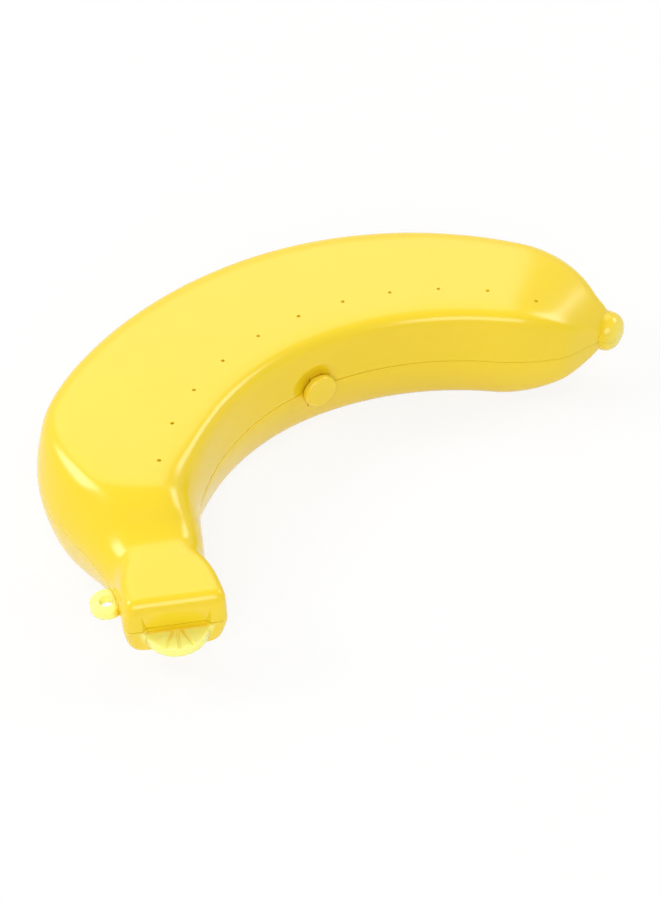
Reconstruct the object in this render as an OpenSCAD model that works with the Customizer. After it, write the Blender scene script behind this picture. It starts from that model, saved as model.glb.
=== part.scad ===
/* [Body] */
// Radius of the curved centre line
spine_r = 100; // [80:1:140]
// Width of the body across the seam
body_w = 54.2; // [46:0.2:60]
// Height of the closed body before the resting face is cut
body_h = 37.4; // [34:0.2:42]
// Length of the centre line from the latch to the tip
tip_arc = 112.5; // [100:0.5:125]
// Length of the centre line from the latch to the straight stem
stem_arc = 126; // [115:1:135]
// Slope of the lower shell's wall on the latch side, in degrees
front_draft = 17.6; // [10:0.1:20]
// Slope of the upper shell's wall on the latch side, in degrees
lid_draft = 6; // [4:0.1:12]
// Slope of the wall on the hinge side, in degrees
back_draft = 12.2; // [6:0.1:14]
// Crispness of the long edges, a high value is sharper
edge_power = 10; // [6:1:14]
// Thickness of the walls
wall = 2; // [1.6:0.1:2.6]
// Depth of the resting face cut into the underside
rest_cut = 0.5; // [0.3:0.1:1]

/* [Tip] */
// Length of the rounded tip
tip_round = 32.2; // [26:0.2:40]
// Narrowing of each side from the latch to the tip
tip_taper = 8.2; // [4:0.2:10]
// Shift of the tip towards the hinge side
tip_shift = 4.2; // [0:0.2:6]
// Length over which that shift fades out
tip_shift_l = 8; // [8:0.5:16]
// Thickness of the end wall at the tip
tip_wall = 5; // [5:0.1:6]
// Diameter of the knob on the tip
knob_d = 13.2; // [11:0.2:14]
// Length of the knob in front of the tip
knob_l = 4; // [3:0.2:7]
// Shift of the knob from the tip's middle towards the hinge side
knob_shift = 3.2; // [0:0.2:3.4]
// Depth of the knob's foot behind the tip
knob_seat = 4.6; // [4.4:0.1:4.9]
// Rounding of the knob's end
knob_round = 4.6; // [2:0.1:5]

/* [Stem] */
// Width of the stem
stem_w = 29.2; // [26:0.2:32]
// Height of the closed stem
stem_h = 21.2; // [18:0.2:24]
// Length of the straight stem
stem_l = 19; // [15:0.5:23]
// Shift of the stem towards the latch side
stem_shift = 16.8; // [14:0.2:18]
// Distance from the stem's end to where the hinge side leaves the body
back_shoulder = 75; // [69:1:83]
// Distance from the stem's end to where the hinge side meets the stem
back_neck = 9.5; // [8:0.5:15]
// Share of the hinge side's shoulder that is rounded at each end
back_soft = 0.5; // [0.3:0.05:0.5]
// Distance from the stem's end to where the top leaves the body
top_shoulder = 45; // [41:1:53]
// Distance from the stem's end to where the top meets the stem
top_neck = 21; // [17:0.5:25]
// Distance from the stem's end to where the latch side leaves the body
front_shoulder = 60; // [53:1:67]
// Distance from the stem's end to where the neck slopes most
neck_mid = 25; // [23:1:33]
// Distance from the stem's end to where the section begins to slope more
neck_start = 87; // [75:1:93]
// Added slope of the upper shell's hinge side there, in degrees
neck_draft = 24; // [10:1:30]
// Added slope of the upper shell's latch side there, in degrees
neck_front = 20; // [0:1:24]
// Crispness of the upper shell's long edges there
neck_power = 5; // [4:0.5:8]
// Share of that softness in the lower shell
neck_share = 0.2; // [0:0.05:0.5]
// Length of the rounding at the stem's end
stem_edge = 3.4; // [2:0.2:4.4]
// Depth of that rounding on the stem's sides
side_edge = 2.2; // [0.6:0.1:2.6]
// Depth of that rounding on the stem's underside
sole_edge = 1; // [0.6:0.1:2]
// Depth of that rounding on the hood's top
hood_edge = 3.6; // [2:0.2:4.4]
// Length over which the latch side moves out to the stem
front_flare = 30; // [24:1:36]
// How far the latch side swells out again at the stem's end
stem_lobe = 2.4; // [0:0.1:3.4]
// Length of that swelling
lobe_l = 22; // [16:1:26]
// Turn of the stem's end, with the latch side further out, in degrees
end_turn = 3.6; // [0:0.2:5]
// Slope of the lower shell's end wall, in degrees
end_draft = 10; // [4:0.5:12]
// Thickness of the end wall of the stem
stem_wall = 5; // [4.6:0.1:7]
// Width of the thumb recess in the stem's end
recess_w = 19; // [15:0.5:20]
// Height of the thumb recess above the seam
recess_h = 6.4; // [3:0.2:6.6]
// Depth of the thumb recess above the tongue
recess_depth = 1.6; // [1:0.1:3.4]

/* [Thumb tongue] */
// Radius of the tongue's round end
tongue_r = 9.4; // [7:0.1:9.4]
// Reach of the tongue past the stem's end
tongue_l = 6.2; // [5:0.2:8]
// Thickness of the tongue
tongue_t = 3.5; // [2.5:0.1:4.5]
// Depth of the tongue's top below the seam
tongue_drop = 2; // [1.5:0.1:2.5]
// Number of grooves across the tongue
flute_count = 3; // [1:2:5]
// Angle between neighbouring grooves, in degrees
flute_angle = 26; // [18:1:32]
// Width of a groove
flute_w = 1; // [0.5:0.1:1.2]
// Depth of a groove
flute_depth = 0.4; // [0.3:0.1:1]

/* [Hanging eye] */
// Outer diameter of the eye
eye_d = 9.6; // [8.6:0.2:11]
// Diameter of the eye's hole
eye_hole = 4.2; // [3:0.1:4.2]
// Thickness of the eye
eye_t = 3; // [2:0.1:3.5]
// Distance from the stem's end to the middle of the eye
eye_from_end = 14.6; // [12:0.2:17]
// Distance from the stem's side to the middle of the eye
eye_out = 2.6; // [2.6:0.1:4]

/* [Vent holes] */
// Number of vent holes
vent_count = 11; // [5:1:11]
// Diameter of a vent hole
vent_d = 1.2; // [0.8:0.1:2]
// Spacing of the holes along their row
vent_pitch = 15.9; // [12:0.1:16]
// Distance of the row's middle from the centre line, towards the latch side
vent_in = 12.8; // [8:0.1:15]
// Shift of the row's arc towards the tip
vent_skew = 4; // [0:0.2:5]
// Turn of the row about the middle of its arc, in degrees
vent_turn = 1.4; // [0:0.1:3]

/* [Seam] */
// Gap between the two shells at the seam
seam = 0.3; // [0.2:0.05:0.4]
// Height of the locating lip above the seam
lip_h = 1.6; // [1:0.1:2]
// Clearance around the locating lip
lip_fit = 0.4; // [0.3:0.05:0.5]

/* [Hinge] */
// Length of the hinge
hinge_l = 36; // [26:1:40]
// Number of knuckles
knuckle_count = 5; // [3:2:7]
// Diameter of a knuckle
knuckle_d = 6; // [5:0.2:7]
// Gap between neighbouring knuckles
knuckle_gap = 0.4; // [0.3:0.05:0.8]
// Gap between a knuckle and the other shell
hinge_gap = 0.5; // [0.4:0.05:1]
// Height of the webs that carry the knuckles
web_h = 9; // [6:0.5:11]
// Diameter of the hinge pin
pin_d = 2; // [1.5:0.1:2.5]
// Clearance of the pin in its bore, on the radius
pin_fit = 0.05; // [0.03:0.01:0.08]
// Diameter of the pin's head
pin_head_d = 3.6; // [3:0.1:4.4]
// Thickness of the pin's head
pin_head_t = 1; // [0.8:0.1:1.5]

/* [Latch] */
// Diameter of the latch button
button_d = 11.4; // [9:0.2:12.4]
// Thickness of the latch button
button_t = 2.2; // [1.8:0.1:3]
// Gap between the button and the wall behind it
button_gap = 0.6; // [0.5:0.1:1]
// Rounding of the button's rim
button_round = 1; // [0.4:0.1:1.4]
// Diameter of the dished finger recess behind the button
finger_d = 14.8; // [13.4:0.2:17]
// Depth of the finger recess
finger_depth = 1.1; // [0.6:0.1:1.2]
// Height of the finger recess's middle above the seam
finger_z = 2; // [1:0.2:3]
// Depth of the latch pivot behind the wall
pivot_in = 3.6; // [3.4:0.1:4.4]
// Depth of the latch pivot below the seam
pivot_drop = 5; // [4.6:0.1:5.4]
// Diameter of the latch barrel
barrel_d = 3.8; // [3.2:0.1:4.2]
// Length of the latch barrel
barrel_l = 8; // [6:0.5:9]
// Diameter of the latch pin
latch_pin_d = 1.5; // [1.2:0.1:1.8]
// Length of the latch pin
latch_pin_l = 14.4; // [13:0.2:16]
// Width of the nose that holds the upper shell
nose_w = 4; // [3:0.2:5]
// Height of the nose's underside above the seam
nose_z = 2; // [1.9:0.1:2.4]
// Thickness of the nose
nose_t = 1.8; // [1.2:0.1:2]
// Reach of the nose into the upper shell's wall
nose_in = 1.5; // [1:0.1:1.8]
// Width of the neck between the button and its barrel
neck_w = 6; // [4:0.2:6.4]
// Angle that the button swings out to let the upper shell go, in degrees
latch_swing = 25; // [15:1:25]
// Thickness of the boss around the latch pocket
boss_wall = 1.2; // [1:0.1:1.6]
// Clearance of the latch in its pocket
latch_fit = 0.35; // [0.25:0.05:0.5]

/* [Hidden] */
shell_colour = "#f8dc4a";
button_colour = "#fbdf4a";
steel_colour = "#b9bcc0";
stations = 56;
edge_steps = 5;
section_steps = 18;
// How strongly the stations crowd together towards the tip, from 0 to 1
crowding = 0.35;
$fn = 48;

// The seam's height above the resting face
seam_z = body_h / 2 - rest_cut;
stem_end = stem_arc + stem_l;
// A first section of the tip this far behind its pole closes the tip with a small flat
tip_start = 0.06;
// Inside the wall that flat is larger, so that it stands above the step in the rim
inner_start = 0.9;
// Places on the cross section through the latch and the hinge
front_y = -body_w / 2;
back_y = body_w / 2;
hinge_y = back_y + knuckle_d / 2 + hinge_gap;
knuckle_pitch = (hinge_l + knuckle_gap) / knuckle_count;
knuckle_l = knuckle_pitch - knuckle_gap;
// The webs' underside lies a little further from the seam than the rim
web_z = 0.75 * seam;
pivot_y = front_y + pivot_in;
button_back = front_y - button_gap - arc_sag(button_d / 2, spine_r - body_w / 2);
// Depth to which the tongue is seated in the end wall
tongue_root = stem_wall - (stem_wall - recess_depth) / 2;
eye_s = stem_end - eye_from_end;
// How far the walls lean in at the foot of the knuckles' webs and of the latch boss
web_lean = wall_lean(web_h, 0);
boss_drop = pivot_drop + barrel_d / 2 + latch_fit + boss_wall;
boss_lean = wall_lean(boss_drop, 180);
neck_sweep = (pivot_y - button_back) * sin(latch_swing);
// Radius of the ball that dishes the finger recess
finger_r = (finger_d * finger_d / 4 + finger_depth * finger_depth) / 2 / finger_depth;
boss_y = pivot_y + barrel_d / 2 + latch_fit + boss_wall;

// Depth of an arc's middle below the chord that is half_l long on each side
function arc_sag(half_l, r) = r - sqrt(r * r - half_l * half_l);
// A straight rise from 0 to 1 with its ends rounded over the share soft of its length
function soft_rise(t, soft) =
    t <= 0 ? 0
    : t >= 1 ? 1
    : t < soft ? t * t / (2 * soft * (1 - soft))
    : t > 1 - soft ? 1 - (1 - t) * (1 - t) / (2 * soft * (1 - soft))
    : (t - soft / 2) / (1 - soft);
function ramp(s, from, to, soft = 0.5) = soft_rise((s - from) / (to - from), soft);

// The centre line: an arc about a point in front of the body, then a straight stem
function spine_angle(s) = 90 + min(s, stem_arc) / spine_r * 180 / PI;
function spine_out(s) = [cos(spine_angle(s)), sin(spine_angle(s))];
function spine_dir(s) = [-sin(spine_angle(s)), cos(spine_angle(s))];
function spine_point(s) =
    spine_r * spine_out(s) - [0, spine_r] + max(0, s - stem_arc) * spine_dir(s);
function beside(s, u) = spine_point(s) + u * spine_out(s);

// Fullness of the section near the tip, from 0 at the pole to 1
function tip_full(s, inset) =
    let (t = min(1, (s + tip_arc - inset) / (tip_round - inset)))
    sqrt(max(0, 1 - (1 - t) * (1 - t)));
function body_half(s) = body_w / 2 - (s < 0 ? tip_taper * pow(s / tip_arc, 2) : 0);
function shift(s) = tip_shift * (1 - ramp(s, -tip_arc, tip_shift_l - tip_arc));
// Distance of the two edges from the centre line, in the seam plane
function back_edge(s) =
    (stem_w / 2 - stem_shift - body_w / 2)
    * ramp(s, stem_end - back_shoulder, stem_end - back_neck, back_soft);
function front_edge(s) =
    (body_w / 2 - stem_w / 2 - stem_shift + stem_lobe)
    * ramp(s, stem_end - front_shoulder, stem_end - front_shoulder + front_flare)
    - stem_lobe * ramp(s, stem_end - lobe_l, stem_end);
function back_u(s, in, end) = shift(s) + (body_half(s) - in) * tip_full(s, end) + back_edge(s);
function front_u(s, in, end) = shift(s) - (body_half(s) - in) * tip_full(s, end) + front_edge(s);
function half_h(s, in, end) =
    tip_full(s, end)
    * (body_h / 2 - in - (body_h - stem_h) / 2 * ramp(s, stem_end - top_shoulder, stem_end - top_neck));
// How far the section has the neck's soft shape, from 0 to 1
function neck(s) =
    ramp(s, stem_end - neck_start, stem_end - neck_mid)
    * (1 - ramp(s, stem_end - neck_mid, stem_end - back_neck));

// Radius of a six-sided section with rounded edges: two sloped faces a side, a top and a bottom
function face_term(c, d, power) = pow(max(0, c) / d, power);
function section_r(a, half_w, h, front, back, power) =
    let (k = pow(2, 1 / power) * half_w)
    pow(
        face_term(cos(a - back), k * cos(back), power)
        + face_term(cos(a + back), k * cos(back), power)
        + face_term(-cos(a + front), k * cos(front), power)
        + face_term(-cos(a - front), k * cos(front), power)
        + face_term(sin(a), h, power),
        -1 / power
    );
// How far the middle section's wall lies inside the seam edge at the height z, on the side of side_a
function wall_lean(z, side_a) =
    let (a = side_a == 0 ? atan2(z, body_w / 2) : atan2(z, -body_w / 2))
    body_w / 2
    - section_r(a, body_w / 2, body_h / 2, front_draft, back_draft, edge_power) * abs(cos(a));
// How far a point of the straight stem moves along it.
// This turns the stem's end, and leans it in away from the seam.
function end_slip(s, u, z, draft) =
    -ramp(s, stem_arc, stem_end) * ((u + stem_shift) * tan(end_turn) + z * tan(draft));
// For each shell: the slope of its latch side, its share of the neck's softness,
// its rounding at the stem's end and the slope of its end wall
LID = [lid_draft, 1, hood_edge, 0];
BASE = [front_draft, neck_share, sole_edge, end_draft];
// One point of a shell's section, with the seam face held at rim_z and the top lowered by down
function skin_point(s, a, in, down, end, rim_z, shell) =
    let (
        mid = (back_u(s, in, end) + front_u(s, in, end)) / 2,
        half_w = (back_u(s, in, end) - front_u(s, in, end)) / 2,
        soft = shell[1] * neck(s),
        back = back_draft + neck_draft * soft,
        front = shell[0] + neck_front * soft,
        power = edge_power + (neck_power - edge_power) * soft,
        r = section_r(a, half_w, half_h(s, in + down, end), front, back, power),
        u = mid + r * cos(a),
        z = a == 0 || a == 180 ? 0 : r * sin(a),
        p = beside(s + end_slip(s, u, z, shell[3]), u)
    )
    [p.x, p.y, z == 0 ? rim_z : max(rim_z, z)];

// Stations run from the tip to the stem's end, close together where the tip is round and over the end's edge
last = stations + edge_steps;
function edge_turn(i) = 90 * max(0, i - stations) / edge_steps;
function station(i, front_in, back_in) =
    let (
        t = min(1, i / stations),
        from = -tip_arc + front_in + (front_in > 0 ? inner_start : tip_start),
        to = stem_end - back_in - stem_edge
    )
    from + (to - from) * (crowding * t * t + (1 - crowding) * t) + stem_edge * sin(edge_turn(i));
// A grid of points over one half of the body, from the latch side over the top to the hinge side.
// The outer skin, which has no inset, turns in at the stem's end.
function skin(in, front_in, back_in, rim_z, shell) = [
    for (i = [0:last])
        let (
            s = station(i, front_in, back_in),
            turn = in > 0 ? 0 : 1 - cos(edge_turn(i)),
            edge_in = in + side_edge * turn,
            down = (shell[2] - side_edge) * turn
        )
        [
            for (j = [0:section_steps])
                skin_point(s, 180 - 180 * j / section_steps, edge_in, down, front_in, rim_z, shell)
        ]
];
// The seam outline of such a grid: along the latch side, round the stem and back
function edge_point(i, a, in, front_in, back_in, z) =
    skin_point(station(i, front_in, back_in), a, in, 0, front_in, z, BASE);
function outline(in, front_in, back_in, z) =
    let (
        near = [for (i = [0:last]) edge_point(i, 180, in, front_in, back_in, z)],
        far = [for (i = [last:-1:0]) edge_point(i, 0, in, front_in, back_in, z)]
    )
    concat(near, far);
function reverse(row) = [for (k = [len(row) - 1:-1:0]) row[k]];
function flat(rows) = [for (row = rows) each row];
// Number of the point in row i and column j of a grid
function at(i, j) = i * (section_steps + 1) + j;
function grid_faces(first, turned) = [
    for (i = [0:last - 1], j = [0:section_steps - 1])
        let (
            quad = [at(i, j), at(i, j + 1), at(i + 1, j + 1), at(i + 1, j)],
            f = [for (k = turned ? [3:-1:0] : [0:3]) first + quad[k]]
        )
        each [[f[0], f[1], f[2]], [f[0], f[2], f[3]]]
];
function end_faces(first, turned) =
    let (
        tip = [for (j = [0:section_steps]) first + at(0, j)],
        stem = [for (j = [section_steps:-1:0]) first + at(last, j)]
    )
    turned ? [tip, stem] : [reverse(tip), reverse(stem)];
// A strip between two outlines that hold the numbers of their points
function strip_faces(a, b) = [
    for (k = [0:len(a) - 1])
        let (n = (k + 1) % len(a))
        each [[a[k], b[k], b[n]], [a[k], b[n], a[n]]]
];
function edge_numbers(first) = concat(
    [for (i = [0:last]) first + at(i, 0)],
    [for (i = [last:-1:0]) first + at(i, section_steps)]
);

// One half of the body as a thin shell above the seam plane, with a step in its rim.
// The step lies between step_in and the inner face, and its top is at step_z.
module half_shell(rim_z, step_in, step_z, shell) {
    grid_size = (last + 1) * (section_steps + 1);
    ring_size = 2 * (last + 1);
    share = step_in / wall;
    outer = flat(skin(0, 0, 0, rim_z, shell));
    inner = flat(skin(wall, tip_wall, stem_wall, step_z, shell));
    ring_a = outline(step_in, share * tip_wall, share * stem_wall, rim_z);
    ring_b = outline(step_in, share * tip_wall, share * stem_wall, step_z);
    a = [for (k = [0:ring_size - 1]) 2 * grid_size + k];
    b = [for (k = [0:ring_size - 1]) 2 * grid_size + ring_size + k];
    polyhedron(
        points = concat(outer, inner, ring_a, ring_b),
        faces = concat(
            grid_faces(0, true),
            end_faces(0, true),
            strip_faces(edge_numbers(0), a),
            strip_faces(a, b),
            strip_faces(b, edge_numbers(grid_size)),
            grid_faces(grid_size, false),
            end_faces(grid_size, false)
        ),
        convexity = 6
    );
}

// Carries a piece to the distance u beside the centre line at s, with its X axis towards the stem
module on_spine(s, u) {
    p = beside(s, u);
    translate([p.x, p.y, 0])
        rotate([0, 0, spine_angle(s) + 90])
            children();
}
// Carries a piece to the middle of the stem's end, with its X axis out of the end
module on_stem_end() {
    on_spine(stem_end, -stem_shift)
        rotate([0, 0, -end_turn])
            children();
}
// A block wider than the case, from the height z upwards or downwards
module above(z) {
    translate([-2 * spine_r, -2 * spine_r, z])
        cube([4 * spine_r, 4 * spine_r, body_h]);
}
module below(z) {
    translate([-2 * spine_r, -2 * spine_r, z - body_h])
        cube([4 * spine_r, 4 * spine_r, body_h]);
}
// Draws a Y-Z profile and extrudes it along X from x
module along_x(x, l) {
    translate([x, 0, 0])
        rotate([90, 0, 90])
            linear_extrude(l)
                children();
}
module bar_along_x(x, l, y, z, d) {
    translate([x, y, z])
        rotate([0, 90, 0])
            cylinder(d = d, h = l);
}

// The round knob on the tip, seated in the thick end wall
module knob() {
    on_spine(-tip_arc, tip_shift + knob_shift)
        rotate([0, -90, 0])
            rotate_extrude()
                intersection() {
                    translate([0, -knob_seat])
                        square([knob_d / 2, knob_seat + knob_l]);
                    union() {
                        translate([0, -knob_seat])
                            square([knob_d / 2, knob_seat + knob_l - knob_round]);
                        square([knob_d / 2 - knob_round, knob_l]);
                        translate([knob_d / 2 - knob_round, knob_l - knob_round])
                            circle(r = knob_round);
                    }
                }
}

// The room that the knob's upper half leaves for the locating lip
module lip_room() {
    edge = outline(wall / 4, tip_wall / 4, stem_wall / 4, 0);
    linear_extrude(lip_h + lip_fit + wall / 4)
        polygon([for (p = edge) [p.x, p.y]]);
}

// Every second knuckle above the seam, each on a web that runs into the wall
module knuckles(first) {
    for (k = [first:2:knuckle_count - 1])
        let (
            x = k * knuckle_pitch - hinge_l / 2,
            far = max(abs(x), abs(x + knuckle_l)),
            root = back_y - arc_sag(far, spine_r + body_w / 2) - wall / 4
        )
        along_x(x, knuckle_l)
            union() {
                translate([hinge_y, 0])
                    circle(d = knuckle_d);
                polygon([
                    [root, web_z],
                    [hinge_y, web_z],
                    [hinge_y, knuckle_d / 2],
                    [root - web_lean, web_h]
                ]);
            }
}
module hinge_bore() {
    bar_along_x(-hinge_l, 2 * hinge_l, hinge_y, 0, pin_d + 2 * pin_fit);
}

// A row of holes along an arc of its own on the upper shell
module vents() {
    row_r = spine_r - vent_in;
    for (k = [0:vent_count - 1])
        let (a = 90 + vent_turn + (k - (vent_count - 1) / 2) * vent_pitch / row_r * 180 / PI)
        translate([vent_skew + row_r * cos(a), row_r * sin(a) - spine_r, body_h / 4])
            cylinder(d = vent_d, h = body_h / 2);
}

// The thumb recess in the stem's end, which slopes in from the hood and both sides down to the tongue's top
module thumb_recess() {
    out = 2 * recess_depth;
    on_stem_end()
        intersection() {
            translate([0, recess_w, 0])
                rotate([90, 0, 0])
                    linear_extrude(2 * recess_w)
                        polygon([
                            [-recess_depth, -tongue_drop],
                            [out, -tongue_drop],
                            [out, recess_h],
                            [0, recess_h]
                        ]);
            translate([0, 0, -2 * tongue_drop])
                linear_extrude(2 * tongue_drop + 2 * recess_h)
                    polygon([
                        [-out, -recess_w / 2 + out],
                        [out, -recess_w / 2 - out],
                        [out, recess_w / 2 + out],
                        [-out, recess_w / 2 - out]
                    ]);
        }
}
// A round tongue, of which the part behind the stem's end is seated in the end wall
module tongue() {
    on_stem_end()
        translate([0, 0, -tongue_drop - tongue_t])
            linear_extrude(tongue_t)
                intersection() {
                    translate([-tongue_root, -tongue_r])
                        square([tongue_root + tongue_l, 2 * tongue_r]);
                    translate([tongue_l - tongue_r, 0])
                        circle(r = tongue_r);
                }
}
module flutes() {
    on_stem_end()
        translate([tongue_l - tongue_r, 0, -tongue_drop - flute_depth])
            for (k = [0:flute_count - 1])
                rotate([0, 0, (k - (flute_count - 1) / 2) * flute_angle])
                    translate([tongue_r - tongue_l - recess_depth / 2, -flute_w / 2, 0])
                        cube([tongue_r, flute_w, 2 * flute_depth]);
}

module at_eye() {
    on_spine(eye_s, back_u(eye_s, 0, 0) + eye_out)
        translate([0, 0, -seam / 2 - eye_t])
            children();
}

// The boss inside the lower shell that carries the latch, and the pocket that the latch swings in
module latch_boss() {
    along_x(-latch_pin_l / 2, latch_pin_l)
        polygon([
            [front_y + wall / 2, -seam / 2],
            [boss_y, -seam / 2],
            [boss_y, -boss_drop],
            [front_y + wall / 2 + boss_lean, -boss_drop]
        ]);
}
module latch_pocket() {
    room_r = barrel_d / 2 + latch_fit;
    room_w = barrel_l + 2 * latch_fit;
    slot_w = neck_w + 2 * latch_fit;
    translate([-room_w / 2, pivot_y - room_r, -pivot_drop - room_r])
        cube([room_w, 2 * room_r, pivot_drop + room_r + 2 * lip_h]);
    translate([-slot_w / 2, button_back, -pivot_drop - neck_sweep])
        cube([slot_w, pivot_y - button_back, pivot_drop + neck_sweep + 2 * lip_h]);
}
module latch_pin_bore() {
    bar_along_x(-latch_pin_l, 2 * latch_pin_l, pivot_y, -pivot_drop, latch_pin_d + 2 * pin_fit);
}
// The finger recess around the button and the notch for its nose, in the upper shell
module finger_recess() {
    translate([0, front_y + finger_depth - finger_r, finger_z])
        sphere(r = finger_r);
    translate([-nose_w / 2 - latch_fit, button_back, -nose_z])
        cube([nose_w + 2 * latch_fit, front_y + 2 * wall - button_back, 2 * nose_z + nose_t + latch_fit]);
}

module lower_shell() {
    color(shell_colour)
        translate([0, 0, seam_z])
            difference() {
                union() {
                    mirror([0, 0, 1])
                        half_shell(seam / 2, wall / 2 + lip_fit, -lip_h, BASE);
                    intersection() {
                        knob();
                        below(-seam / 2);
                    }
                    mirror([0, 0, 1])
                        knuckles(0);
                    tongue();
                    at_eye()
                        cylinder(d = eye_d, h = eye_t);
                    latch_boss();
                }
                below(-seam_z);
                hinge_bore();
                thumb_recess();
                flutes();
                at_eye()
                    translate([0, 0, -eye_t])
                        cylinder(d = eye_hole, h = 3 * eye_t);
                latch_pocket();
                latch_pin_bore();
            }
}
module upper_shell() {
    color(shell_colour)
        translate([0, 0, seam_z])
            difference() {
                union() {
                    half_shell(seam / 2, wall / 2, lip_h + lip_fit, LID);
                    intersection() {
                        difference() {
                            knob();
                            lip_room();
                        }
                        above(seam / 2);
                    }
                    knuckles(1);
                }
                hinge_bore();
                vents();
                thumb_recess();
                finger_recess();
            }
}
module hinge_pin() {
    color(steel_colour)
        translate([0, 0, seam_z]) {
            bar_along_x(-hinge_l / 2, hinge_l + pin_fit + pin_head_t, hinge_y, 0, pin_d);
            bar_along_x(hinge_l / 2 + pin_fit, pin_head_t, hinge_y, 0, pin_head_d);
        }
}
module latch_button() {
    color(button_colour)
        translate([0, 0, seam_z])
            difference() {
                union() {
                    translate([0, button_back, 0])
                        rotate([90, 0, 0])
                            rotate_extrude()
                                union() {
                                    square([button_d / 2, button_t - button_round]);
                                    square([button_d / 2 - button_round, button_t]);
                                    translate([button_d / 2 - button_round, button_t - button_round])
                                        circle(r = button_round);
                                }
                    translate([-neck_w / 2, button_back - button_t / 2, -pivot_drop])
                        cube([neck_w, pivot_y - button_back + button_t / 2, barrel_d / 2]);
                    bar_along_x(-barrel_l / 2, barrel_l, pivot_y, -pivot_drop, barrel_d);
                    translate([-nose_w / 2, button_back - button_t / 2, nose_z])
                        cube([nose_w, front_y + nose_in - button_back + button_t / 2, nose_t]);
                }
                latch_pin_bore();
            }
}
module latch_pin() {
    color(steel_colour)
        translate([0, 0, seam_z])
            bar_along_x(-latch_pin_l / 2, latch_pin_l, pivot_y, -pivot_drop, latch_pin_d);
}

lower_shell();
upper_shell();
hinge_pin();
latch_button();
latch_pin();
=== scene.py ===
import math
from types import SimpleNamespace

import bmesh
import bpy
from bpy.props import FloatProperty, FloatVectorProperty, IntProperty, PointerProperty, StringProperty
from mathutils import Matrix, Vector


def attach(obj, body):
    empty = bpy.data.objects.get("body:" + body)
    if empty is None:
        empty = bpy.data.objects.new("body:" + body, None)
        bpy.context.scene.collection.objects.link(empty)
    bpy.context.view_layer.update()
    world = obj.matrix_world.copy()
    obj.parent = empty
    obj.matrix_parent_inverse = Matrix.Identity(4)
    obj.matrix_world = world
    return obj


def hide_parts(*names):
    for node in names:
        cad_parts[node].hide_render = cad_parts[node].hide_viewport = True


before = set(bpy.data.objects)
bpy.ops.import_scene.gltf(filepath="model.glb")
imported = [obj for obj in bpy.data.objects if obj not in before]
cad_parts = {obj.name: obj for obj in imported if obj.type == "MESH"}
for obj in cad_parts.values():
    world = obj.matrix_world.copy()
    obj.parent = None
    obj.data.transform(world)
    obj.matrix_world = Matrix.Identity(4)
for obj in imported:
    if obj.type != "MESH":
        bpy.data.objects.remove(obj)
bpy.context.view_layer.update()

bl_info = {
    "name": "Banana carrying case",
    "version": (1, 0, 0),
    "blender": (4, 5, 0),
    "location": "View3D > Sidebar > Case",
    "description": "Models the shells, latch and pins of a banana carrying case and sets up its studio",
    "category": "Object",
}

# Steps of the modelled surfaces: along the tip, the body, the rounding at the stem's end and its flat end, around
# the outside and the inside of a shell's section, and around rods and turned pieces
TIP_STEPS, BODY_STEPS, EDGE_STEPS, END_STEPS = 30, 150, 12, 8
OUTSIDE_STEPS, INSIDE_STEPS = 80, 56
ROD_STEPS, TURNED_STEPS = 48, 64

# Rounded edges in metres: knuckles, barrel and button; tongue; eye; pins; the hinge pin's head
SMALL_EDGE, TONGUE_EDGE, EYE_EDGE, PIN_EDGE, HEAD_EDGE = 0.0003, 0.0008, 0.0006, 0.0002, 0.0001

# Share of the seam that each rim closes at the tip, and the length in metres over which it does
RIM_CLOSE, RIM_CLOSE_L = 0.35, 0.07

# How much of the thin sections' lemon the knob has, which is painted glow standing in for light coming through,
# and the slack in metres for points on an edge
KNOB_GLOW = 0.3
SLACK = 1e-5

# Each soft lamp: name, place in metres, width, depth and power in watts
LAMPS = (
    ("back_softbox", (0.22, 0.72, 0.93), 1.2, 0.9, 5.4),
    ("left_softbox", (-0.74, 0.55, 0.70), 0.55, 0.45, 5.9),
    ("right_softbox", (0.87, -0.16, 0.78), 0.5, 0.4, 3.8),
    ("front_softbox", (-0.46, -0.86, 0.70), 0.9, 0.6, 7.6),
)
LAMP_TARGET = (0, -0.03, 0)

# Strength of the surroundings as light, and half the floor's width in metres
WORLD_LIGHT = 0.18
FLOOR_HALF = 3


# Sizes and colours

def length(title, words, mm):
    return FloatProperty(name=title, description=words, default=mm / 1000, unit="LENGTH")


def angle(title, words, degrees):
    return FloatProperty(name=title, description=words, default=math.radians(degrees), subtype="ANGLE")


def colour(title, words, text):
    return StringProperty(name=title, description=words + ", as an sRGB hex value", default=text)


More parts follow.
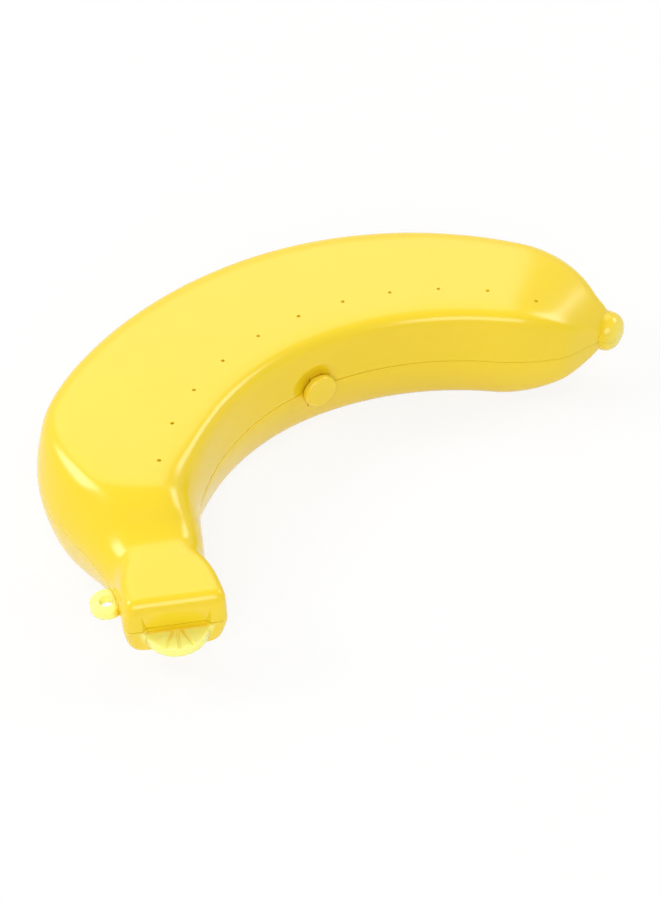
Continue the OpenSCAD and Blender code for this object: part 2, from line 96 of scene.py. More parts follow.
class BodySizes(bpy.types.PropertyGroup):
    spine_r: length("Centre line radius", "Radius of the curved centre line", 100)
    body_w: length("Body width", "Width of the body across the seam", 54.2)
    body_h: length("Body height", "Height of the closed body before the resting face is cut", 37.4)
    tip_arc: length("Tip arc", "Length of the centre line from the latch to the tip", 112.5)
    stem_arc: length("Stem arc", "Length of the centre line from the latch to the straight stem", 126)
    front_draft: angle("Latch side draft", "Slope of the lower shell's wall on the latch side", 17.6)
    lid_draft: angle("Lid draft", "Slope of the upper shell's wall on the latch side", 6)
    back_draft: angle("Hinge side draft", "Slope of the wall on the hinge side", 12.2)
    edge_power: FloatProperty(name="Edge crispness", description="A high value makes sharper long edges", default=10)
    wall: length("Wall", "Thickness of the walls", 2)
    rest_cut: length("Resting cut", "Depth of the resting face cut into the underside", 0.5)
    tip_round: length("Tip round", "Length of the rounded tip", 32.2)
    tip_taper: length("Tip taper", "Narrowing of each side from the latch to the tip", 8.2)
    tip_shift: length("Tip shift", "Shift of the tip towards the hinge side", 4.2)
    tip_shift_l: length("Tip shift length", "Length over which that shift fades out", 8)
    tip_wall: length("Tip wall", "Thickness of the end wall at the tip", 5)
    stem_w: length("Stem width", "Width of the stem", 29.2)
    stem_h: length("Stem height", "Height of the closed stem", 21.2)
    stem_l: length("Stem length", "Length of the straight stem", 19)
    stem_shift: length("Stem shift", "Shift of the stem towards the latch side", 16.8)
    stem_wall: length("Stem wall", "Thickness of the end wall of the stem", 5)
    stem_edge: length("Stem edge", "Length of the rounding at the stem's end", 3.4)
    side_edge: length("Side edge", "Depth of that rounding on the stem's sides", 2.2)
    sole_edge: length("Sole edge", "Depth of that rounding on the stem's underside", 1)
    hood_edge: length("Hood edge", "Depth of that rounding on the hood's top", 3.6)
    back_shoulder: length("Hinge side shoulder", "Distance of the hinge side's shoulder from the stem's end", 75)
    back_neck: length("Hinge side neck", "Distance from the stem's end to where the hinge side meets the stem", 9.5)
    back_soft: FloatProperty(name="Shoulder softness", description="Rounded share of the shoulder at each end",
                             default=0.5)
    top_shoulder: length("Top shoulder", "Distance of the top's shoulder from the stem's end", 45)
    top_neck: length("Top neck", "Distance from the stem's end to where the top meets the stem", 21)
    front_shoulder: length("Latch side shoulder", "Distance of the latch side's shoulder from the stem's end", 60)
    neck_mid: length("Neck", "Distance from the stem's end to where the neck slopes most", 25)
    neck_start: length("Neck start", "Distance from the stem's end to where the section begins to slope more", 87)
    neck_draft: angle("Neck draft", "Added slope of the upper shell's hinge side in the neck", 24)
    neck_front: angle("Neck front", "Added slope of the upper shell's latch side in the neck", 20)
    neck_power: FloatProperty(name="Neck crispness", description="Crispness of the upper shell's edges there",
                              default=5)
    neck_share: FloatProperty(name="Lower neck", description="Share of that softness in the lower shell", default=0.2)
    front_flare: length("Flare", "Length over which the latch side moves out to the stem", 30)
    stem_lobe: length("Stem lobe", "How far the latch side swells out again at the stem's end", 2.4)
    lobe_l: length("Lobe length", "Length of that swelling", 22)
    end_turn: angle("End turn", "Turn of the stem's end, with the latch side further out", 3.6)
    end_draft: angle("End draft", "Slope of the lower shell's end wall", 10)
    seam: length("Seam", "Gap between the two shells", 0.3)
    rim_round: length("Rim rounding", "Rounding of the shells' outer edge at the seam", 0.25)
    lip_h: length("Lip height", "Height of the locating lip above the seam", 1.6)
    lip_fit: length("Lip clearance", "Clearance around the locating lip", 0.4)


class FittingSizes(bpy.types.PropertyGroup):
    knob_d: length("Knob diameter", "Diameter of the knob on the tip", 13.2)
    knob_l: length("Knob length", "Length of the knob in front of the tip", 4)
    knob_seat: length("Knob seat", "Depth of the knob's foot behind the tip", 4.6)
    knob_shift: length("Knob shift", "Shift of the knob towards the hinge side", 3.2)
    knob_round: length("Knob rounding", "Rounding of the knob's end", 4.6)
    recess_w: length("Recess width", "Width of the thumb recess", 19)
    recess_h: length("Recess height", "Height of the thumb recess above the seam", 6.4)
    recess_depth: length("Recess depth", "Depth of the thumb recess above the tongue", 1.6)
    tongue_r: length("Tongue radius", "Radius of the thumb tongue's round end", 9.4)
    tongue_l: length("Tongue reach", "Reach of the tongue past the stem's end", 6.2)
    tongue_t: length("Tongue thickness", "Thickness of the tongue", 3.5)
    tongue_drop: length("Tongue drop", "Depth of the tongue's top below the seam", 2)
    flute_count: IntProperty(name="Flutes", description="Number of grooves across the tongue", default=3)
    flute_angle: angle("Flute spacing", "Angle between neighbouring grooves", 26)
    flute_w: length("Flute width", "Width of a groove", 1)
    flute_depth: length("Flute depth", "Depth of a groove", 0.4)
    eye_d: length("Eye diameter", "Outer diameter of the hanging eye", 9.6)
    eye_hole: length("Eye hole", "Diameter of the eye's hole", 4.2)
    eye_t: length("Eye thickness", "Thickness of the eye", 3)
    eye_from_end: length("Eye place", "Distance from the stem's end to the middle of the eye", 14.6)
    eye_out: length("Eye stand-off", "Distance from the stem's side to the middle of the eye", 2.6)
    vent_count: IntProperty(name="Vents", description="Number of vent holes", default=11)
    vent_d: length("Vent diameter", "Diameter of a vent hole", 1.2)
    vent_pitch: length("Vent spacing", "Spacing of the holes along their row", 15.9)
    vent_in: length("Vent row place", "Distance of the row's middle from the centre line", 12.8)
    vent_skew: length("Vent row skew", "Shift of the row's arc towards the tip", 4)
    vent_turn: angle("Vent row turn", "Turn of the row about the middle of its arc", 1.4)
    hinge_l: length("Hinge length", "Length of the hinge", 36)
    knuckle_count: IntProperty(name="Knuckles", description="Number of hinge knuckles", default=5)
    knuckle_d: length("Knuckle diameter", "Diameter of a knuckle", 6)
    knuckle_gap: length("Knuckle gap", "Gap between neighbouring knuckles", 0.4)
    hinge_gap: length("Hinge gap", "Gap between a knuckle and the other shell", 0.5)
    web_h: length("Web height", "Height of the webs that carry the knuckles", 9)
    pin_d: length("Hinge pin", "Diameter of the hinge pin", 2)
    pin_fit: length("Pin clearance", "Clearance of a pin in its bore", 0.05)
    pin_head_d: length("Pin head", "Diameter of the hinge pin's head", 3.6)
    pin_head_t: length("Pin head thickness", "Thickness of the hinge pin's head", 1)
    button_d: length("Button diameter", "Diameter of the latch button", 11.4)
    button_t: length("Button thickness", "Thickness of the latch button", 2.2)
    button_gap: length("Button gap", "Gap between the button and the wall behind it", 0.6)
    button_round: length("Button rounding", "Rounding of the button's rim", 1)
    finger_d: length("Finger recess", "Diameter of the dished recess behind the button", 14.8)
    finger_depth: length("Finger recess depth", "Depth of the recess behind the button", 1.1)
    finger_z: length("Finger recess height", "Height of the recess's middle above the seam", 2)
    pivot_in: length("Pivot depth", "Depth of the latch pivot behind the wall", 3.6)
    pivot_drop: length("Pivot drop", "Depth of the latch pivot below the seam", 5)
    barrel_d: length("Barrel diameter", "Diameter of the latch barrel", 3.8)
    barrel_l: length("Barrel length", "Length of the latch barrel", 8)
    latch_pin_d: length("Latch pin", "Diameter of the latch pin", 1.5)
    latch_pin_l: length("Latch pin length", "Length of the latch pin", 14.4)
    nose_w: length("Nose width", "Width of the nose that reaches into the upper shell", 4)
    nose_z: length("Nose height", "Height of the nose's underside above the seam", 2)
    nose_t: length("Nose thickness", "Thickness of the nose", 1.8)
    nose_in: length("Nose reach", "Reach of the nose into the upper shell's wall", 1.5)
    neck_w: length("Neck width", "Width of the neck between button and barrel", 6)
    latch_swing: angle("Latch swing", "Angle that the button swings out", 25)
    boss_wall: length("Boss wall", "Thickness of the boss around the latch pocket", 1.2)
    latch_fit: length("Latch clearance", "Clearance of the latch in its pocket", 0.35)


class CaseColours(bpy.types.PropertyGroup):
    shell: colour("Shell", "Yellow of the moulded shells", "#F5D520")
    # Painted light: a paler lemon mixed into the shells' yellow on the knob, tongue and eye, as painted glow from the
    # light that comes through these thin parts
    thin: colour("Thin sections", "Lemon of the knob, tongue and eye, where light comes through", "#FFFA90")
    button: colour("Button", "Yellow of the latch button", "#F6D732")
    steel: colour("Steel", "Grey of the drawn steel pins", "#B9BCC0")
    floor: colour("Floor", "Pale floor of the studio", "#F4F4F2")


class StageSizes(bpy.types.PropertyGroup):
    camera: FloatVectorProperty(name="Camera", description="Place of the camera", size=3,
                                default=(-0.21055, -0.37774, 0.37819), subtype="TRANSLATION", unit="LENGTH")
    target: FloatVectorProperty(name="Target", description="Point that the camera looks at", size=3,
                                default=(-0.01164, -0.05388, 0.0182), subtype="TRANSLATION", unit="LENGTH")
    lens: FloatProperty(name="Lens", description="Focal length in mm for a 24 mm high sensor", default=45.5)


# The body's form

def soft_rise(t, soft=0.5):
    """A straight rise from 0 to 1 with its ends rounded over the share soft of its length."""
    if t <= 0:
        return 0.0
    if t >= 1:
        return 1.0
    bend = 2 * soft * (1 - soft)
    if t < soft:
        return t * t / bend
    if t > 1 - soft:
        return 1 - (1 - t) ** 2 / bend
    return (t - soft / 2) / (1 - soft)


def sag(half_l, r):
    """Depth of an arc's middle below the chord that is half_l long on each side."""
    return r - math.sqrt(r * r - half_l * half_l)


class Form:
    """The skin of the case: a bent centre line with a six-sided, round-edged section along it.
    s runs along the centre line from the latch, towards the stem, and u across it, towards the hinge."""

    def __init__(self, scene):
        body = scene.case_body
        self.b = SimpleNamespace(**{name: getattr(body, name) for name in BodySizes.__annotations__})
        self.stem_end = self.b.stem_arc + self.b.stem_l
        self.seam_z = self.b.body_h / 2 - self.b.rest_cut
        self.front_y = -self.b.body_w / 2
        self.back_y = self.b.body_w / 2

    def turn(self, s):
        return math.pi / 2 + min(s, self.b.stem_arc) / self.b.spine_r

    def beside(self, s, u):
        a = self.turn(s)
        past = max(0.0, s - self.b.stem_arc)
        reach = self.b.spine_r + u
        return Vector((reach * math.cos(a) - past * math.sin(a),
                       reach * math.sin(a) - self.b.spine_r + past * math.cos(a), 0))

    def frame_at(self, s, u):
        """The place at s and u, with X towards the stem and Y towards the latch, on the seam plane."""
        place = self.beside(s, u)
        place.z = self.seam_z
        return Matrix.Translation(place) @ Matrix.Rotation(self.turn(s) + math.pi / 2, 4, "Z")

    def at_end(self):
        """The middle of the stem's end, with X out of it."""
        return self.frame_at(self.stem_end, -self.b.stem_shift) @ Matrix.Rotation(-self.b.end_turn, 4, "Z")

    def slip(self, s, u, z, draft):
        """How far a point of the straight stem moves along it: its end is turned and leans in away from the seam."""
        share = soft_rise((s - self.b.stem_arc) / self.b.stem_l)
        return -share * ((u + self.b.stem_shift) * math.tan(self.b.end_turn) + z * math.tan(draft))

    def full(self, s, end):
        t = min(1.0, (s + self.b.tip_arc - end) / (self.b.tip_round - end))
        return math.sqrt(max(0.0, 1 - (1 - t) ** 2))

    def sides(self, s, inset, end):
        """The u of the latch side and of the hinge side."""
        b = self.b
        half = b.body_w / 2 - (b.tip_taper * (s / b.tip_arc) ** 2 if s < 0 else 0.0)
        half = (half - inset) * self.full(s, end)
        shift = b.tip_shift * (1 - soft_rise((s + b.tip_arc) / b.tip_shift_l))
        from_back = (s - self.stem_end + b.back_shoulder) / (b.back_shoulder - b.back_neck)
        from_front = (s - self.stem_end + b.front_shoulder) / b.front_flare
        back = (b.stem_w / 2 - b.stem_shift - b.body_w / 2) * soft_rise(from_back, b.back_soft)
        front = (b.body_w / 2 - b.stem_w / 2 - b.stem_shift + b.stem_lobe) * soft_rise(from_front)
        front -= b.stem_lobe * soft_rise((s - self.stem_end) / b.lobe_l + 1)
        return shift - half + front, shift + half + back

    def half_h(self, s, inset, end):
        b = self.b
        drop = (b.body_h - b.stem_h) / 2
        fall = soft_rise((s - self.stem_end + b.top_shoulder) / (b.top_shoulder - b.top_neck))
        return self.full(s, end) * (b.body_h / 2 - inset - drop * fall)

    def neck(self, s):
        """How far the section has the neck's soft shape, from 0 to 1."""
        b = self.b
        rise = soft_rise((s - self.stem_end + b.neck_start) / (b.neck_start - b.neck_mid))
        return rise * (1 - soft_rise((s - self.stem_end + b.neck_mid) / (b.neck_mid - b.back_neck)))

    def radius(self, a, half_w, half_h, front, back, power):
        """Radius of the section at the angle a: two sloped faces a side and a flat top, with rounded edges."""
        if half_w < 1e-7 or half_h < 1e-7:
            return 0.0
        k = 2 ** (1 / power) * half_w
        terms = (
            (math.cos(a - back), k * math.cos(back)),
            (math.cos(a + back), k * math.cos(back)),
            (-math.cos(a + front), k * math.cos(front)),
            (-math.cos(a - front), k * math.cos(front)),
            (math.sin(a), half_h),
        )
        return sum((max(0.0, c) / d) ** power for c, d in terms) ** (-1 / power)

    def lean(self, z, a_side):
        """How far the middle section's wall lies inside the seam's edge at the height z."""
        half = self.b.body_w / 2
        b = self.b
        a = math.atan2(z, half if a_side == 0 else -half)
        return half - self.radius(a, half, b.body_h / 2, b.front_draft, b.back_draft, b.edge_power) * abs(math.cos(a))

    def skin(self, s, a, inset, down, end, floor, ceiling, scale, shell):
        """A point of the skin above the seam plane, no lower than floor and no higher than ceiling."""
        b = self.b
        near, far = self.sides(s, inset, end)
        neck = shell.neck * self.neck(s)
        front = shell.front + b.neck_front * neck
        back = b.back_draft + b.neck_draft * neck
        power = b.edge_power + (b.neck_power - b.edge_power) * neck
        r = self.radius(a, (far - near) / 2, self.half_h(s, inset + down, end), front, back, power)
        u = (near + far) / 2 + scale * r * math.cos(a)
        z = floor + scale * (min(ceiling, max(floor, r * math.sin(a))) - floor)
        place = self.beside(s + self.slip(s, u, max(0.0, z), shell.draft), u)
        place.z = z
        return place

    def rows(self):
        """Stations from the tip to the stem's end: s outside, turn of the end's edge, s inside and a scale.
        The tip is divided by angle, the stem's edge is rounded, and its end closes in to the middle."""
        b = self.b
        found = []
        for k in range(TIP_STEPS):
            w = 1 - math.cos(math.pi / 2 * k / TIP_STEPS)
            inside = -b.tip_arc + b.tip_wall + (b.tip_round - b.tip_wall) * w
            found.append((-b.tip_arc + b.tip_round * w, 0.0, inside, 1.0))
        start = b.tip_round - b.tip_arc
        for k in range(BODY_STEPS):
            w = k / BODY_STEPS
            found.append((start + (self.stem_end - b.stem_edge - start) * w, 0.0,
                          start + (self.stem_end - b.stem_wall - start) * w, 1.0))
        inside = self.stem_end - b.stem_wall
        for k in range(EDGE_STEPS + 1):
            turn = math.pi / 2 * k / EDGE_STEPS
            found.append((self.stem_end - b.stem_edge * (1 - math.sin(turn)), 1 - math.cos(turn), inside, 1.0))
        for k in range(1, END_STEPS + 1):
            found.append((self.stem_end, 1.0, inside, 1 - k / END_STEPS))
        return found

    def close(self, s):
        """How far each shell's rim reaches into the seam's gap, which closes up towards the tip."""
        return RIM_CLOSE * self.b.seam * soft_rise(-s / RIM_CLOSE_L)

    def columns(self, step_in, step_z):
        """The closed outline of the wall's section: depth share, inset, angle, and the lowest z, which is fixed
        on the rim. It runs from the latch side's rim over the outside to the hinge side and back inside."""
        b = self.b
        rim = b.seam / 2
        share = step_in / b.wall
        corner = b.rim_round * (1 - math.sqrt(0.5))
        edge = ((share, step_in, rim), (0, b.rim_round, rim), (0, corner, rim + corner))
        found = [(d, inset, math.pi, z, True) for d, inset, z in edge]
        over = [math.pi * (1 - k / OUTSIDE_STEPS) for k in range(OUTSIDE_STEPS + 1)]
        found += [(0, 0, a, rim + b.rim_round, False) for a in over]
        found += [(d, inset, 0.0, z, True) for d, inset, z in reversed(edge)]
        found.append((share, step_in, 0.0, step_z, True))
        found += [(1, b.wall, math.pi * k / INSIDE_STEPS, step_z, False) for k in range(INSIDE_STEPS + 1)]
        found.append((share, step_in, math.pi, step_z, True))
        found.append(found[0])
        return found

    def half_shell(self, step_in, step_z, ceiling, shell):
        """One half of the body as a thin shell above the seam plane, with a step in its rim."""
        rows = self.rows()
        columns = self.columns(step_in, step_z)
        bm = bmesh.new()
        last_row, last_column = len(rows) - 1, len(columns) - 1
        bmesh.ops.create_grid(bm, x_segments=last_row, y_segments=last_column, size=1)
        for vert in bm.verts:
            s_out, turn, s_in, scale = rows[round((vert.co.x + 1) / 2 * last_row)]
            depth, inset, a, z, on_rim = columns[round((vert.co.y + 1) / 2 * last_column)]
            down = 0.0
            if depth == 0:
                inset = inset + self.b.side_edge * turn
                down = (shell.edge - self.b.side_edge) * turn
            s = s_out + depth * (s_in - s_out)
            top = ceiling if depth == 0 else 1.0
            z = z - self.close(s) if depth < 1 and z < self.b.seam + self.b.rim_round else z
            top = z if on_rim else top
            vert.co = self.skin(s, a, inset, down, depth * self.b.tip_wall, z, top, scale, shell)
        return bm


# Modelling helpers

def close_up(bm):
    """Merges what lies in one place and turns every face outwards."""
    bmesh.ops.remove_doubles(bm, verts=bm.verts, dist=2e-7)
    bmesh.ops.dissolve_degenerate(bm, edges=bm.edges, dist=1e-7)
    bmesh.ops.recalc_face_normals(bm, faces=bm.faces)
    return bm


def object_of(name, bm):
    mesh = bpy.data.meshes.new(name)
    bm.to_mesh(mesh)
    bm.free()
    made = bpy.data.objects.new(name, mesh)
    bpy.context.scene.collection.objects.link(made)
    return made


def block(low, high, place=Matrix(), rounding=0.0):
    """A box between two corners, with its edges rounded."""
    low, high = Vector(low), Vector(high)
    bm = bmesh.new()
    bmesh.ops.create_cube(bm, size=1)
    bmesh.ops.scale(bm, vec=high - low, verts=bm.verts)
    bmesh.ops.translate(bm, vec=(low + high) / 2, verts=bm.verts)
    if rounding:
        bmesh.ops.bevel(bm, geom=bm.edges[:], offset=rounding, offset_type="OFFSET", affect="EDGES",
                        segments=4, profile=0.5, material=-1)
    bmesh.ops.transform(bm, matrix=place, verts=bm.verts)
    return object_of("tool", bm)


def rod(d, l, place=Matrix(), chamfer=0.0):
    """A round bar along its own Z, from 0 to l."""
    bm = bmesh.new()
    bmesh.ops.create_cone(bm, cap_ends=True, segments=ROD_STEPS, radius1=d / 2, radius2=d / 2, depth=l)
    bmesh.ops.translate(bm, vec=(0, 0, l / 2), verts=bm.verts)
    if chamfer:
        ends = [e for e in bm.edges if abs(e.verts[0].co.z - e.verts[1].co.z) < 1e-9]
        bmesh.ops.bevel(bm, geom=ends, offset=chamfer, offset_type="OFFSET", affect="EDGES",
                        segments=3, profile=0.5, material=-1)
    bmesh.ops.transform(bm, matrix=place, verts=bm.verts)
    return object_of("tool", bm)


def ball(r, place):
    bm = bmesh.new()
    bmesh.ops.create_uvsphere(bm, u_segments=192, v_segments=96, radius=r)
    bmesh.ops.translate(bm, vec=place, verts=bm.verts)
    return object_of("tool", bm)


def turned(profile, place=Matrix()):
    """A round solid: an open profile of radius and height points, turned about Z."""
    bm = bmesh.new()
    chain = [bm.verts.new((r, 0, z)) for r, z in profile]
    edges = [bm.edges.new(pair) for pair in zip(chain, chain[1:])]
    bmesh.ops.spin(bm, geom=chain + edges, cent=(0, 0, 0), axis=(0, 0, 1), angle=2 * math.pi, steps=TURNED_STEPS,
                   use_merge=True)
    close_up(bm)
    bmesh.ops.transform(bm, matrix=place, verts=bm.verts)
    return object_of("tool", bm)


def bar_of(points, l, place=Matrix()):
    """A straight bar with a flat outline in its own XY plane, drawn out along Z."""
    bm = bmesh.new()
    face = bm.faces.new([bm.verts.new((x, y, 0)) for x, y in points])
    drawn = bmesh.ops.extrude_face_region(bm, geom=[face])["geom"]
    bmesh.ops.translate(bm, vec=(0, 0, l), verts=[v for v in drawn if isinstance(v, bmesh.types.BMVert)])
    bmesh.ops.transform(bm, matrix=place, verts=bm.verts)
    bmesh.ops.recalc_face_normals(bm, faces=bm.faces)
    return object_of("tool", bm)


def arc(r, z, radius, first, last, steps):
    """Points of a profile's rounding about (r, z), from one angle to another in degrees."""
    turns = [math.radians(first + (last - first) * k / steps) for k in range(steps + 1)]
    return [(r + radius * math.cos(t), z + radius * math.sin(t)) for t in turns]


def halve(made, z, keep_above):
    """Cuts a closed solid at the height z and closes the cut."""
    bm = bmesh.new()
    bm.from_mesh(made.data)
    bmesh.ops.bisect_plane(bm, geom=bm.verts[:] + bm.edges[:] + bm.faces[:], plane_co=(0, 0, z), plane_no=(0, 0, 1),
                           clear_outer=not keep_above, clear_inner=keep_above)
    bmesh.ops.holes_fill(bm, edges=[e for e in bm.edges if e.is_boundary], sides=0)
    bmesh.ops.recalc_face_normals(bm, faces=bm.faces)
    bm.to_mesh(made.data)
    bm.free()
    return made


def combine(piece, operation, tools):
    """Joins tools to a piece, or cuts them out of it, and keeps the result as the piece's mesh."""
    for tool in tools:
        step = piece.modifiers.new("combine", "BOOLEAN")
        step.operation = operation
        step.solver = "MANIFOLD"
        step.object = tool
        bpy.context.view_layer.update()
        made = bpy.data.meshes.new_from_object(piece.evaluated_get(bpy.context.evaluated_depsgraph_get()))
        piece.modifiers.clear()
        used = piece.data
        piece.data = made
        made.name = piece.name
        bpy.data.meshes.remove(used)
        worn = tool.data
        bpy.data.objects.remove(tool)
        bpy.data.meshes.remove(worn)


def dress(piece, body, material, node, sharp=34):
    """Shades a piece, gives it its material, ties it to its body and hides the CAD node that it stands in for."""
    mesh = piece.data
    mesh.materials.clear()
    mesh.materials.append(material)
    for face in mesh.polygons:
        face.material_index = 0
        face.use_smooth = True
    mesh.set_sharp_from_angle(angle=math.radians(sharp))
    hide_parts(node)
    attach(piece, body)


# Materials

def linear(text):
    """An sRGB hex value as linear red, green, blue and alpha."""
    channels = [int(text[k:k + 2], 16) / 255 for k in (1, 3, 5)]
    return [c / 12.92 if c <= 0.04045 else ((c + 0.055) / 1.055) ** 2.4 for c in channels] + [1.0]


def add_node(tree, kind, settings=None, inputs=None):
    """Adds a node, sets its settings, and sets or links its inputs."""
    made = tree.nodes.new(kind)
    for name, value in (settings or {}).items():
        setattr(made, name, value)
    for name, value in (inputs or {}).items():
        if isinstance(value, bpy.types.NodeSocket):
            tree.links.new(value, made.inputs[name])
        else:
            made.inputs[name].default_value = value
    return made


def empty_material(name):
    made = bpy.data.materials.new(name)
    made.use_nodes = True
    made.node_tree.nodes.clear()
    return made, made.node_tree


def polypropylene(name, hue, thin_hue):
    """Moulded polypropylene: a soft gloss from a polished mould, a faint waviness in the reflections where the
    wall sank as it cooled, a fine orange peel, and a lemon glow where the section is thin, made of light that
    goes deeper there and of a paler lemon painted into the colour as painted glow."""
    made, tree = empty_material(name)
    place = add_node(tree, "ShaderNodeTexCoord").outputs["Object"]
    thin = add_node(tree, "ShaderNodeAttribute", {"attribute_name": "thin"}).outputs["Fac"]
    # Cloudy colour of the melt, in patches about 40 mm wide
    cloud = add_node(tree, "ShaderNodeTexNoise", None, {"Vector": place, "Scale": 25.0, "Detail": 2.0})
    # Painted glow: the colour turns to the paler lemon where the thin parts are marked, standing in for light coming
    # through them
    base = add_node(tree, "ShaderNodeMix", {"data_type": "RGBA"}, {"Factor": thin})
    base.inputs["A"].default_value = linear(hue)
    base.inputs["B"].default_value = linear(thin_hue)
    shade = add_node(tree, "ShaderNodeMapRange", None, {
        "Value": cloud.outputs["Fac"], "To Min": 0.975, "To Max": 1.02})
    tint = add_node(tree, "ShaderNodeHueSaturation", None, {"Value": shade.outputs["Result"]})
    tree.links.new(base.outputs["Result"], tint.inputs["Color"])
    # Patches of a duller polish about 9 mm wide
    polish = add_node(tree, "ShaderNodeTexNoise", None, {"Vector": place, "Scale": 110.0, "Detail": 1.0})
    rough = add_node(tree, "ShaderNodeMapRange", None, {
        "Value": polish.outputs["Fac"], "To Min": 0.20, "To Max": 0.25})
    # Sink waves about 22 mm long and an orange peel of 1.4 mm
    wave = add_node(tree, "ShaderNodeTexNoise", None, {"Vector": place, "Scale": 45.0, "Detail": 1.0})
    peel = add_node(tree, "ShaderNodeTexNoise", None, {"Vector": place, "Scale": 720.0, "Detail": 2.0})
    sunk = add_node(tree, "ShaderNodeBump", None, {
        "Height": wave.outputs["Fac"], "Distance": 0.00035, "Strength": 0.15})
    skin = add_node(tree, "ShaderNodeBump", None, {
        "Height": peel.outputs["Fac"], "Distance": 0.000012, "Strength": 0.25, "Normal": sunk.outputs["Normal"]})
    # Light goes deeper where the section is thin
    deep = add_node(tree, "ShaderNodeMapRange", None, {"Value": thin, "To Min": 0.12, "To Max": 0.7})
    shader = add_node(tree, "ShaderNodeBsdfPrincipled", None, {
        "Base Color": tint.outputs["Color"], "Roughness": rough.outputs["Result"], "Normal": skin.outputs["Normal"],
        "IOR": 1.49, "Subsurface Weight": deep.outputs["Result"], "Subsurface Radius": (1.0, 0.75, 0.2),
        "Subsurface Scale": 0.002})
    add_node(tree, "ShaderNodeOutputMaterial", None, {"Surface": shader.outputs["BSDF"]})
    return made


def drawn_steel(name, hue):
    """Drawn steel wire: fine lines along the pin, about 0.15 mm apart, and a soft grey shine."""
    made, tree = empty_material(name)
    place = add_node(tree, "ShaderNodeTexCoord").outputs["Object"]
    along = add_node(tree, "ShaderNodeMapping", None, {"Vector": place, "Scale": (40.0, 6500.0, 6500.0)})
    lines = add_node(tree, "ShaderNodeTexNoise", None, {
        "Vector": along.outputs["Vector"], "Scale": 1.0, "Detail": 2.0})
    rough = add_node(tree, "ShaderNodeMapRange", None, {
        "Value": lines.outputs["Fac"], "To Min": 0.24, "To Max": 0.42})
    bump = add_node(tree, "ShaderNodeBump", None, {
        "Height": lines.outputs["Fac"], "Distance": 0.00001, "Strength": 0.4})
    shader = add_node(tree, "ShaderNodeBsdfPrincipled", None, {
        "Base Color": linear(hue), "Metallic": 1.0, "Roughness": rough.outputs["Result"],
        "Normal": bump.outputs["Normal"]})
    add_node(tree, "ShaderNodeOutputMaterial", None, {"Surface": shader.outputs["BSDF"]})
    return made


def seen_straight(tree):
    """1 for rays from the camera, from reflections and through clear things, 0 for scattered light."""
    path = add_node(tree, "ShaderNodeLightPath")
    total = path.outputs["Is Camera Ray"]
    for kind in ("Is Glossy Ray", "Is Transmission Ray"):
        both = add_node(tree, "ShaderNodeMath", {"operation": "ADD", "use_clamp": True})
        tree.links.new(total, both.inputs[0])
        tree.links.new(path.outputs[kind], both.inputs[1])
        total = both.outputs["Value"]
    return total


def studio_floor(name, hue):
    """A pale seamless floor that shows white to the camera and keeps the soft shadow under the case."""
    made, tree = empty_material(name)
    paper = add_node(tree, "ShaderNodeBsdfDiffuse", None, {"Color": linear(hue)})
    glow = add_node(tree, "ShaderNodeEmission", None, {"Color": (1, 1, 1, 1), "Strength": 1.0})
    # The shadow fades out between 0.2 m and 0.9 m from the case
    place = add_node(tree, "ShaderNodeTexCoord").outputs["Object"]
    away = add_node(tree, "ShaderNodeVectorMath", {"operation": "LENGTH"}, {"Vector": place})
    fade = add_node(tree, "ShaderNodeMapRange", {"interpolation_type": "SMOOTHSTEP"}, {
        "Value": away.outputs["Value"], "From Min": 0.2, "From Max": 0.9, "To Min": 0.84, "To Max": 1.0})
    share = add_node(tree, "ShaderNodeMath", {"operation": "MULTIPLY"})
    tree.links.new(seen_straight(tree), share.inputs[0])
    tree.links.new(fade.outputs["Result"], share.inputs[1])
    both = add_node(tree, "ShaderNodeMixShader")
    tree.links.new(share.outputs["Value"], both.inputs[0])
    tree.links.new(paper.outputs["BSDF"], both.inputs[1])
    tree.links.new(glow.outputs["Emission"], both.inputs[2])
    add_node(tree, "ShaderNodeOutputMaterial", None, {"Surface": both.outputs["Shader"]})
    return made


# Features shared by the pieces

def hinge_place(form, fit):
    return form.back_y + fit.knuckle_d / 2 + fit.hinge_gap


def button_back(form, fit):
    return form.front_y - fit.button_gap - sag(fit.button_d / 2, form.b.spine_r - form.b.body_w / 2)


def across(form, x, y, z):
    """A place for a bar that runs along X, from x, with z above the seam."""
    return Matrix.Translation((x, y, form.seam_z + z)) @ Matrix.Rotation(math.pi / 2, 4, "Y")


def knob_half(form, fit, above):
    """Half of the round knob on the tip, seated in the thick end wall."""
    r, rounding = fit.knob_d / 2, fit.knob_round
    profile = [(0, -fit.knob_seat), (r, -fit.knob_seat)]
    profile += arc(r - rounding, fit.knob_l - rounding, rounding, 0, 90, 14) + [(0, fit.knob_l)]
    place = form.frame_at(-form.b.tip_arc, form.b.tip_shift + fit.knob_shift) @ Matrix.Rotation(-math.pi / 2, 4, "Y")
    gap = form.b.seam / 2 - form.close(-form.b.tip_arc)
    return halve(turned(profile, place), form.seam_z + (gap if above else -gap), above)


def knuckles(form, fit, first, side):
    """Every second knuckle of the hinge, each on a web that runs into the wall above or below the seam."""
    pitch = (fit.hinge_l + fit.knuckle_gap) / fit.knuckle_count
    l = pitch - fit.knuckle_gap
    y = hinge_place(form, fit)
    lean = form.lean(fit.web_h, 0)
    made = []
    for k in range(first, fit.knuckle_count, 2):
        x = k * pitch - fit.hinge_l / 2
        root = form.back_y - sag(max(abs(x), abs(x + l)), form.b.spine_r + form.b.body_w / 2) - form.b.wall / 4
        outline = [(root, form.b.seam / 2), (y, form.b.seam / 2), (y, fit.knuckle_d / 2), (root - lean, fit.web_h)]
        lie = Matrix(((0, 0, 1, 0), (1, 0, 0, 0), (0, side, 0, 0), (0, 0, 0, 1)))
        place = Matrix.Translation((x, 0, form.seam_z)) @ lie
        made.append(rod(fit.knuckle_d, l, across(form, x, y, 0), SMALL_EDGE))
        made.append(bar_of(outline, l, place))
    return made


